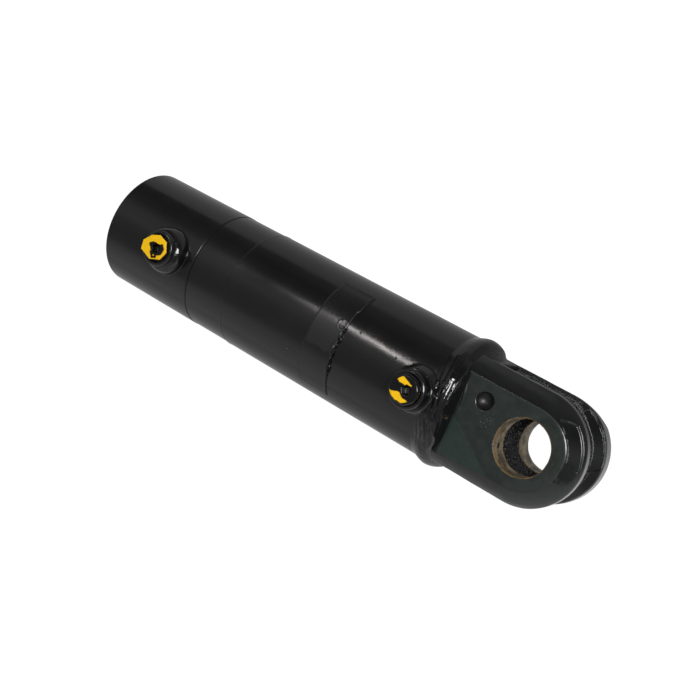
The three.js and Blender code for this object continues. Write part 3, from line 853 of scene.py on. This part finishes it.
def build_bush(side):
    """One bush, flush with the ear and painted over with it, so that only its ragged bore shows."""
    z0, z1 = SLOT_Z + 0.1, EAR_Z - 0.02

    def field(p):
        x, y, z = p[..., 0], p[..., 1], p[..., 2] * side
        reach = np.hypot(x, y)
        ends = smooth_max(z0 - z, z - z1, 0.2)
        bore = PIN_R - reach + 0.12 * lumps(p, 3.0, 8)
        body = smooth_max(np.maximum(reach - BUSH_R, ends), bore, 0.7)
        body = smooth_max(body, -oil_hole(x, y, z, side), 0.4)
        return body + 0.03 * lumps(p, 5, 8)

    low, high = (z0 - 1.5, z1 + 1.5) if side > 0 else (-z1 - 1.5, -z0 + 1.5)
    name = "upper" if side > 0 else "lower"
    piece, points, _ = grown(f"bush_{name}_skin", field, (-27, -27, low), (27, 27, high), 0.6)
    x, y, z = points[:, 0], points[:, 1], points[:, 2] * side
    near_end = np.minimum(np.abs(z - z0), np.abs(z - z1))
    ragged = np.hypot(x, y) + 0.5 * lumps(points, 2.6, 10) - 0.4 * near_end
    add_attribute(piece, "painted", ramp(ragged, PIN_R + 0.35, PIN_R + 0.65))
    add_attribute(piece, "rim", 1 - ramp(near_end + 2.0 * lumps(points, 4, 11), 1.0, 3.0))
    # The oil hole is marked for painted shade.
    add_attribute(piece, "hole", 1 - ramp(oil_hole(x, y, z, side), 0.4, 0.8))
    finish_piece(piece, BRONZE, "barrel", "bronze", f"clevis_bush_{name}")


def build_base_weld():
    """The bead round the clevis: a steep side, a gentle side and wet ridges along it by the port."""
    start_x, end_x = -80.5, -61.6

    def field(p):
        x, y, z = p[..., 0], p[..., 1], p[..., 2]
        rho = np.hypot(y, z)
        theta = np.arctan2(y, z)
        degrees = np.degrees(theta)
        arc = theta * 52
        ring = np.stack([np.cos(theta) * 51, np.sin(theta) * 51, x * 0], -1)
        drawn = np.stack([x * 3.6 + arc * 0.3, arc, x * 0], -1)

        # A round hump across the bead, wider in front, with faint ripples from the welder's hand.
        wider = 4.3 * (1 - ramp(np.abs(degrees), 36, 46)) - ramp(-degrees, 40, 90)
        u = np.clip((x - start_x + 0.5 * lumps(ring, 13, 22)) / (end_x - start_x + wider), 0, 1)
        wave = np.sin(np.pi * u ** 1.15)
        height = (2.75 + 0.25 * lumps(ring, 15, 24)) * wave ** np.where(u < 0.56, 1.2, 0.8)
        ripple = np.cos(arc / 0.42 + 5.0 * (u - 0.5) ** 2 + 1.5 * lumps(ring, 7, 25))
        low_side = bell(theta, -0.4, 0.35)
        height = height + (0.02 * ripple + (0.08 + 0.2 * low_side) * lumps(ring, 3.6, 30)) * wave

        # Ridges drawn out along it on both sides of the port, and three seams between its passes.
        rough = 0.55 * bell(theta, 0.22, 0.42) + 0.9 * low_side
        ridges = 0.42 * np.cos(TAU * (x + 0.16 * arc) / 4.3 + 1.3 * lumps(ring, 9, 26))
        ridges = ridges + 0.75 * lumps(drawn, 7.0, 27) + 0.2 * lumps(drawn, 3.4, 29)
        height = height + rough * wave * ridges
        for middle, first, last, seed in ((-73.6, 2, 16, 32), (-66.6, 8, 25, 34), (-59.6, 4, 37, 36)):
            gate = ramp(degrees, first - 4, first + 2) * (1 - ramp(degrees, last - 2, last + 4))
            seam = bell(x + 0.7 * lumps(ring, 6, seed), middle, 1.5)
            height = height + gate * seam * (0.9 + 0.6 * lumps(drawn, 5, seed + 1))

        under = np.minimum(BARREL_R - 0.05, BARREL_R - 1.523 * (x - NECK_X))
        inner = 46.5 - 4.5 * ramp(x, -64, -60) - rho
        body = smooth_max(rho - (under + height), inner, 0.5)
        body = smooth_max(body, np.maximum(start_x - x, x - end_x - wider), 0.3)
        blob = np.sqrt(((x + 73.5) / 7.5) ** 2 + ((y - 2) / 7.0) ** 2 + ((rho - 50.5) / 3.2) ** 2)
        body = smooth_min(body, (blob - 1) * 3.0, 2.0)
        body = np.maximum(body, BOSS_R + 1.0 - np.hypot(x - BASE_PORT_X, y))
        return body + 0.05 * lumps(p, 6, 28)

    piece, _, _ = grown("base_weld_skin", field, (-84, -58, -58), (-56, 58, 58), 0.7)
    finish_piece(piece, WELD_PAINT, "barrel", "weld_enamel", "base_weld_bead")


# ---- Ports ----


FACET = np.array((14.6, 6.7, 61.7))
FACET_AIM = np.array((0.498, 0.228, 0.836))
FACET_R = 40.0


def build_port(end, px, rise, foot, domed):
    """A boss and the bead round it, which is a dome with one flatter facet, or else a steep cone."""
    seed = 40 if end == "head" else 60

    def weld_field(p):
        x, y, z = p[..., 0] - px, p[..., 1], p[..., 2]
        r = np.hypot(x, y)
        theta = np.arctan2(y, x)
        ring = np.stack([np.cos(theta) * 18, np.sin(theta) * 18, theta * 0], -1)
        above = np.hypot(y, z) - BARREL_R
        toe = foot + 0.35 * lumps(ring, 11, seed) + 0.2 * lumps(ring, 4.5, seed + 1)
        tall = rise + (0.3 if domed else 0.5) * lumps(ring, 9, seed + 2)
        if domed:
            body = (np.hypot(np.maximum(r - 14.0, 0) / (toe - 14.0), np.maximum(above, 0) / tall) - 1) * 5.0
            place = np.stack([x, y, z], -1)
            close = np.linalg.norm(place - FACET, axis=-1)
            ball = np.linalg.norm(place - FACET + (FACET_R + 0.5) * FACET_AIM, axis=-1) - FACET_R
            body = smooth_max(body, ball - 4.0 * ramp(close, 4.0, 8.0), 0.5)
        else:
            body = smooth_max(0.85 * (r - toe) + 0.53 * above, above - tall, 0.8)
        body = smooth_max(body, -1.2 - above, 0.4)
        body = smooth_min(body, np.hypot(r - toe - 0.15, above) - 0.55, 0.5)
        body = smooth_max(body, (BOSS_R - 0.6) - r, 0.3)
        return body + 0.10 * lumps(p, 5.0, seed + 3)

    weld, _, _ = grown(f"{end}_port_weld_skin", weld_field, (px - 23, -23, 44), (px + 23, 23, 64), 0.6)
    finish_piece(weld, WELD_PAINT, "barrel", "weld_enamel", f"{end}_port_weld")
    outline = [
        (BARREL_R - 4, 6.5), (BARREL_R - 4, BOSS_R), (BOSS_Z - 2.0, BOSS_R), (BOSS_Z - 0.6, BOSS_R - 0.5),
        (BOSS_Z, BOSS_R - 1.8), (BOSS_Z, 12.2),
    ]
    outline += thread(BOSS_Z - 2.0, BOSS_Z - 12.5, -1.2, 10.5, 11.1) + [(BOSS_Z - 13, 10.6), (BOSS_Z - 15, 6.5)]
    boss = turned(f"{end}_boss_skin", outline, sides=96, radius=0.5, steps=3, axis="z", shift=(px, 0, 0))
    finish_piece(boss, BARREL_PAINT, "barrel", "black_enamel", f"{end}_port_boss")


HEAD_CAP = [
    (-13.0, 1.6), (-6.6, 8.9), (1.0, 11.8), (9.9, 9.0), (13.9, 0.9), (10.3, -7.0), (0.2, -10.6), (-11.8, -6.5),
]
BASE_CAP = [(13.4 * math.cos(k * TAU / 8 + 0.3), 12.8 * math.sin(k * TAU / 8 + 0.3)) for k in range(8)]


def build_plug(end, px, corners, round_edge, bare):
    """An eight-sided cap with a hexagon socket, and a threaded shank. `bare` says where the cap's yellow shows."""
    head_z, top_z = PLUG_Z, PLUG_Z + 4.2
    socket_x, socket_y, socket_r = 2.4, 0.5, 3.6
    sixth = TAU / 6

    def field(p):
        x, y, z = p[..., 0] - px, p[..., 1], p[..., 2]
        r = np.hypot(x, y)
        flats = outline_distance(x, y, corners)
        if round_edge > 1:
            flats = smooth_max(flats, r - 12.6, 1.5)
        head = smooth_max(flats + 0.10 * (z - head_z), smooth_max(z - top_z, head_z - z, 0.3), round_edge)
        head = head + 0.12 * lumps(p, 5, 71)
        wave = 0.28 * np.cos(z / 1.2 * TAU + np.arctan2(y, x))
        shank = smooth_max(r - 10.15 + wave, smooth_max(z - head_z - 0.5, head_z - 12 - z, 0.6), 0.6)
        body = smooth_min(head, shank, 0.3)
        local = np.mod(np.arctan2(y - socket_y, x - socket_x), sixth) - sixth / 2
        hexagon = np.hypot(x - socket_x, y - socket_y) * np.cos(local) - socket_r
        socket = smooth_max(hexagon, (head_z - 2.5) - z, 0.6)
        return smooth_max(body, -socket, 0.8)

    low, high = (px - 15, -15, head_z - 13.5), (px + 15, 15, top_z + 1.5)
    plug, points, _ = grown(f"{end}_plug_skin", field, low, high, 0.4)
    x, y, z = points[:, 0] - px, points[:, 1], points[:, 2]
    cap = (1 - ramp(bare(x, y) + 0.5 * lumps(points, 1.9, 72), -0.15, 0.15)) * (z > top_z - 0.75)
    shank = (z < head_z - 3.0) & (np.hypot(x, y) > 7)
    add_attribute(plug, "bare", np.maximum(cap, shank))
    finish_piece(plug, YELLOW, f"{end}_plug", "yellow_plastic", f"{end}_port_plug")


def head_plug_bare(x, y):
    """All yellow but for a heart-shaped splash of paint and a run below it."""
    splash = [
        (-5.2, 1.6), (-1.6, 4.0), (2.0, 4.0), (4.3, 3.8), (8.0, 5.6), (10.6, 2.0), (9.0, -3.5), (6.4, -4.3),
        (4.6, -5.2), (1.9, -5.2), (0.2, -4.0), (-0.9, -3.1),
    ]
    run = [(-2.0, -3.8), (-0.6, -3.0), (2.4, -6.8), (6.0, -5.8), (5.8, -7.0), (2.2, -8.4)]
    return 0.35 - np.minimum(outline_distance(x, y, splash), outline_distance(x, y, run))


def base_plug_bare(x, y):
    """Two scraps of yellow that the paint has missed."""
    upper = [(-7.6, 4.3), (-4.4, 8.4), (0.2, 6.9), (4.9, 5.2), (4.0, 2.6), (1.0, 2.5), (-1.9, 3.8), (-5.5, 3.3)]
    lower = [
        (-10.7, -5.0), (-7.5, -4.7), (-3.6, -3.3), (-2.1, -3.3), (2.1, -6.0), (7.4, -6.7), (2.9, -9.7),
        (-2.5, -9.7), (-8.1, -7.8),
    ]
    return np.minimum(outline_distance(x, y, upper), outline_distance(x, y, lower))


# ---- Label plate ----


def wrapped(x, theta, radius):
    """Points round the barrel, at angles that start from +Z."""
    return np.stack([x, radius * np.sin(theta), radius * np.cos(theta)], -1)


def curled_corner(degrees):
    """How far the film's clevis-side edge leans out beyond its upper corner."""
    return 1.5 * ramp(degrees, 33, 37)


def build_label():
    """A wrap-round film under the paint, with raised uneven edges, a low edge round it painted dark as shadow, and
    one open curl with a painted highlight.
    """
    (x0, x1), (low, high) = LABEL_X, LABEL_DEGREES
    nx, nt = 84, 260
    u, v = np.meshgrid(np.linspace(0, 1, nx), np.linspace(0, 1, nt), indexing="ij")
    wide, tall = x1 - x0, math.radians(high - low) * BARREL_R
    flat = np.stack([u * wide, v * tall, u * 0], -1)
    degrees = low + (high - low) * v
    side = np.minimum(u, 1 - u) * 2
    x = x0 + wide * u + 0.45 * lumps(flat, 9, 81) * (1 - side) ** 3 + curled_corner(degrees) * u ** 8
    theta = np.radians(degrees) + 0.010 * lumps(flat, 8, 82) * (np.abs(v - 0.5) * 2) ** 6
    right = (1 - u) * wide
    near = np.minimum(np.minimum(right, u * wide), np.minimum(v, 1 - v) * tall)

    height = 0.05 + 0.42 * ramp(near, 0.75, 1.25) + 0.16 * bell(near, 1.7, 0.6)
    along = ramp(degrees, -30, -24) * (1 - ramp(degrees, 13, 19))
    ridge = bell(right, 2.2 + 0.6 * lumps(flat, 6, 85), 0.8) * along
    height = height + ridge * np.clip(0.5 + 1.0 * lumps(flat, 3.0, 83), 0, 1.4)
    far = np.hypot(right - 3.8, (degrees - 18.4) * 0.887)
    open_side = 1 - 0.9 * ramp(degrees - 0.6 * (right - 3.8), 17.5, 20.5)
    height = height + 0.95 * bell(far, 4.1, 0.6) * open_side + 0.04 * lumps(flat, 12, 84)
    height = np.where(near < 0.01, -0.05, np.maximum(height, 0.03))
    sheets = [wrapped(x, theta, BARREL_R + height), wrapped(x, theta, BARREL_R - 0.1)]

    count = nx * nt
    faces = []
    for i in range(nx - 1):
        for j in range(nt - 1):
            a, b, c, d = i * nt + j, (i + 1) * nt + j, (i + 1) * nt + j + 1, i * nt + j + 1
            faces += [(a, b, c, d), (count + d, count + c, count + b, count + a)]
    rim = [i * nt for i in range(nx)] + [(nx - 1) * nt + j for j in range(1, nt)]
    rim += [i * nt + nt - 1 for i in range(nx - 2, -1, -1)] + list(range(nt - 2, 0, -1))
    faces += [(b, a, count + a, count + b) for a, b in zip(rim, rim[1:] + rim[:1])]
    piece = make("label_skin", np.concatenate(sheets).reshape(-1, 3), faces, smooth_angle=60)
    face_out(piece.data)

    # The dark line round the edge is painted shadow along the film's edge and its torn ridge.
    strong = np.where(right < 3, 1.0, np.where(degrees > 30, 0.8, 0.35 + 0.5 * (degrees < -30)))
    patchy = np.clip(0.75 + 0.8 * lumps(flat, 2.2, 88), 0.2, 1.3)
    looks = {
        "painted_edge_shadow": np.maximum((1 - ramp(near, 0.7, 1.0)) * strong, 0.8 * ridge * (lumps(flat, 2.6, 87) > 0.1)),
        "haze": ramp(degrees + 1.5 * lumps(flat, 5, 86), -9, -7) * (1 - ramp(degrees, 12, 22)) * ramp(near, 1, 3),
        # The pale curl is a painted highlight.
        "curl_highlight_mask": bell(far, 4.1 + 0.5 * lumps(flat, 4, 89), 0.65) * open_side * patchy * (right > 0.8),
    }
    for name, values in looks.items():
        add_attribute(piece, name, np.tile(values.reshape(-1), 2))
    finish_piece(piece, DECAL, "barrel", "decal", "label_plate")


def build_label_ridge():
    """The line of dried black paint along two of the film's edges, thick and torn along part of the longer one."""
    (x0, x1), (low, high) = LABEL_X, LABEL_DEGREES
    long_steps, around = 420, 9
    path = [(x1, t) for t in np.linspace(low, high, long_steps)]
    path = np.array(path + [(x, high) for x in np.linspace(x1 - 0.3, x0, 90)])
    degrees = path[:, 1]
    long_side = np.arange(len(path)) < long_steps
    path[:, 0] += np.where(long_side, curled_corner(degrees), 0)
    arc = np.stack([path[:, 0], np.radians(degrees) * BARREL_R, degrees * 0], -1)
    torn = ramp(degrees, -32, -25) * (1 - ramp(degrees, 15, 21)) * long_side
    width = 0.36 + 0.12 * lumps(arc, 4, 91) + torn * np.clip(0.9 + 1.1 * lumps(arc, 2.6, 92), 0.2, 1.9)
    tall = 0.26 + 0.08 * lumps(arc, 5, 93) + torn * np.clip(0.5 + 0.9 * lumps(arc, 2.2, 94), 0.05, 1.2)
    sway = 0.25 * lumps(arc, 5, 95) + 0.45 * torn * lumps(arc, 3.0, 96)
    way = np.gradient(arc[:, :2], axis=0)
    way = way / np.linalg.norm(way, axis=1, keepdims=True)
    side = np.stack([way[:, 1], -way[:, 0]], -1)
    rows = []
    for t in np.linspace(-1, 1, around):
        flat = arc[:, :2] + side * (sway + t * width)[:, None]
        height = tall * (1 - t * t) ** 0.8 * (1 + 0.35 * lumps(arc + t * 3, 1.6, 97))
        rows.append(wrapped(flat[:, 0], flat[:, 1] / BARREL_R, BARREL_R - 0.05 + height))
    count = len(path)
    faces = [
        (r * count + i, r * count + i + 1, (r + 1) % around * count + i + 1, (r + 1) % around * count + i)
        for r in range(around) for i in range(count - 1)
    ]
    ends = [r * count for r in range(around)]
    faces += [ends, [r + count - 1 for r in reversed(ends)]]
    piece = make("label_ridge_skin", np.concatenate(rows), faces, smooth_angle=60)
    face_out(piece.data)
    finish_piece(piece, DRIED_PAINT, "barrel", "decal")


build_barrel()
build_rod()
build_gland()
build_clevis()
build_bush(1)
build_bush(-1)
build_base_weld()
build_port("head", HEAD_PORT_X, 11.5, 20.2, domed=True)
build_port("base", BASE_PORT_X, 5.2, 19.3, domed=False)
build_plug("head", HEAD_PORT_X, HEAD_CAP, 0.7, head_plug_bare)
build_plug("base", BASE_PORT_X, BASE_CAP, 2.6, base_plug_bare)
build_label()
build_label_ridge()

# ---- Pieces that stay as the CAD made them ----

KEPT = {
    NITRILE: ["gland_o_ring", "piston_rod_o_ring", "piston_seal_energiser"],
    PHENOLIC: [
        "gland_backup_ring", "rod_guide_band_front", "rod_guide_band_rear",
        "piston_wear_band_front", "piston_wear_band_rear",
    ],
    URETHANE: ["rod_seal", "rod_buffer_seal", "piston_seal"],
    STEEL: ["piston", "piston_nut"],
}
for material, names in KEPT.items():
    for node_name in names:
        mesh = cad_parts[node_name].data
        mesh.materials.clear()
        mesh.materials.append(material)

# ---- Floor, world and lights ----

FLOOR_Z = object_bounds()[0].z


def add_floor():
    """A floor that the camera sees as plain white, and that lights the cylinder from below unevenly."""
    half = 12.0
    corners = [(x, y, FLOOR_Z) for x, y in ((-half, -half), (half, -half), (half, half), (-half, half))]
    mesh = bpy.data.meshes.new("floor")
    mesh.from_pydata(corners, [], [(0, 1, 2, 3)])
    floor = new_object("floor", mesh)
    paint = Paint("white_floor")
    x, y = paint.axis("X"), paint.axis("Y")
    path = paint.add("ShaderNodeLightPath").outputs["Is Camera Ray"]
    along = paint.times(paint.step(x, -0.08, 0.03, 0.0, 0.50), paint.step(y, -0.01, 0.06, 1.0, 0.10))
    beyond = paint.times(paint.step(x, -0.11, -0.07), paint.step(y, 0.02, 0.055))
    across = paint.times(paint.step(y, -0.10, 0.10, 0.42, 0.34), paint.blend(beyond, 1.0, 0.45))
    paint.set(
        Base_Color=grey(0.05),
        Roughness=0.9,
        Specular_IOR_Level=0.0,
        Emission_Color=grey(1.0),
        Emission_Strength=paint.blend(path, paint.math("ADD", along, across), 1.0),
    )
    mesh.materials.append(paint.material)


def add_world():
    """A plain studio: pale walls along both sides, a dim ceiling and one soft band of light overhead."""
    stops = [
        (-1.0, 0.60), (-0.80, 0.58), (-0.66, 0.52), (-0.52, 0.26), (-0.28, 0.24),
        (0.0, 0.30), (0.18, 0.46), (0.42, 0.36), (0.60, 0.12), (0.78, 0.07), (0.88, 0.15), (1.0, 0.25),
    ]
    world = bpy.data.worlds.new("studio")
    world.use_nodes = True
    bpy.context.scene.world = world
    tree = world.node_tree
    tree.nodes.clear()
    place = add_node(tree, "ShaderNodeTexCoord").outputs["Generated"]
    across = add_node(tree, "ShaderNodeSeparateXYZ", {0: place}).outputs["Y"]
    across = add_node(tree, "ShaderNodeMapRange", {"Value": across, "From Min": -1.0, "From Max": 1.0})
    shade = add_node(tree, "ShaderNodeValToRGB", {0: across.outputs[0]})
    elements = shade.color_ramp.elements
    while len(elements) > 1:
        elements.remove(elements[-1])
    for index, (where, value) in enumerate(stops):
        position = (where + 1) / 2
        element = elements[0] if index == 0 else elements.new(position)
        element.position = position
        element.color = grey(value)
    path = add_node(tree, "ShaderNodeLightPath").outputs["Is Camera Ray"]
    seen = add_node(tree, "ShaderNodeMix", {0: path, 6: shade.outputs[0], 7: grey(1.0)}, data_type="RGBA")
    background = add_node(tree, "ShaderNodeBackground", {"Color": seen.outputs[2]})
    add_node(tree, "ShaderNodeOutputWorld", {0: background.outputs[0]})


def add_light(name, place, target, size, power, along=(0, 1, 0), colour=(1, 1, 1)):
    """A soft rectangular light, in metres. Its long side, if any, lies along the given direction."""
    data = bpy.data.lights.new(name, "AREA")
    data.shape = "RECTANGLE"
    data.size, data.size_y = size
    data.energy = power
    data.color = colour
    light = new_object(name, data)
    back = (Vector(place) - Vector(target)).normalized()
    side = Vector(along)
    side = (side - back * side.dot(back)).normalized()
    turn = Matrix((side, back.cross(side), back)).transposed().to_4x4()
    light.matrix_world = Matrix.Translation(Vector(place)) @ turn


add_floor()
add_world()
add_light(
    "strip", (-0.855, 0.767, 1.5), (-0.16, 0.02, 0.05), (0.40, 0.055), 2.5,
    along=(-0.745, 0.667, 0.0), colour=(1.0, 0.95, 0.93),
)
add_light("key", (0.95, 0.70, 1.85), (-0.16, 0.0, 0.0), (0.8, 0.8), 46.0)

bpy.context.scene.view_settings.view_transform = "Standard"
bpy.context.scene.view_settings.look = "None"
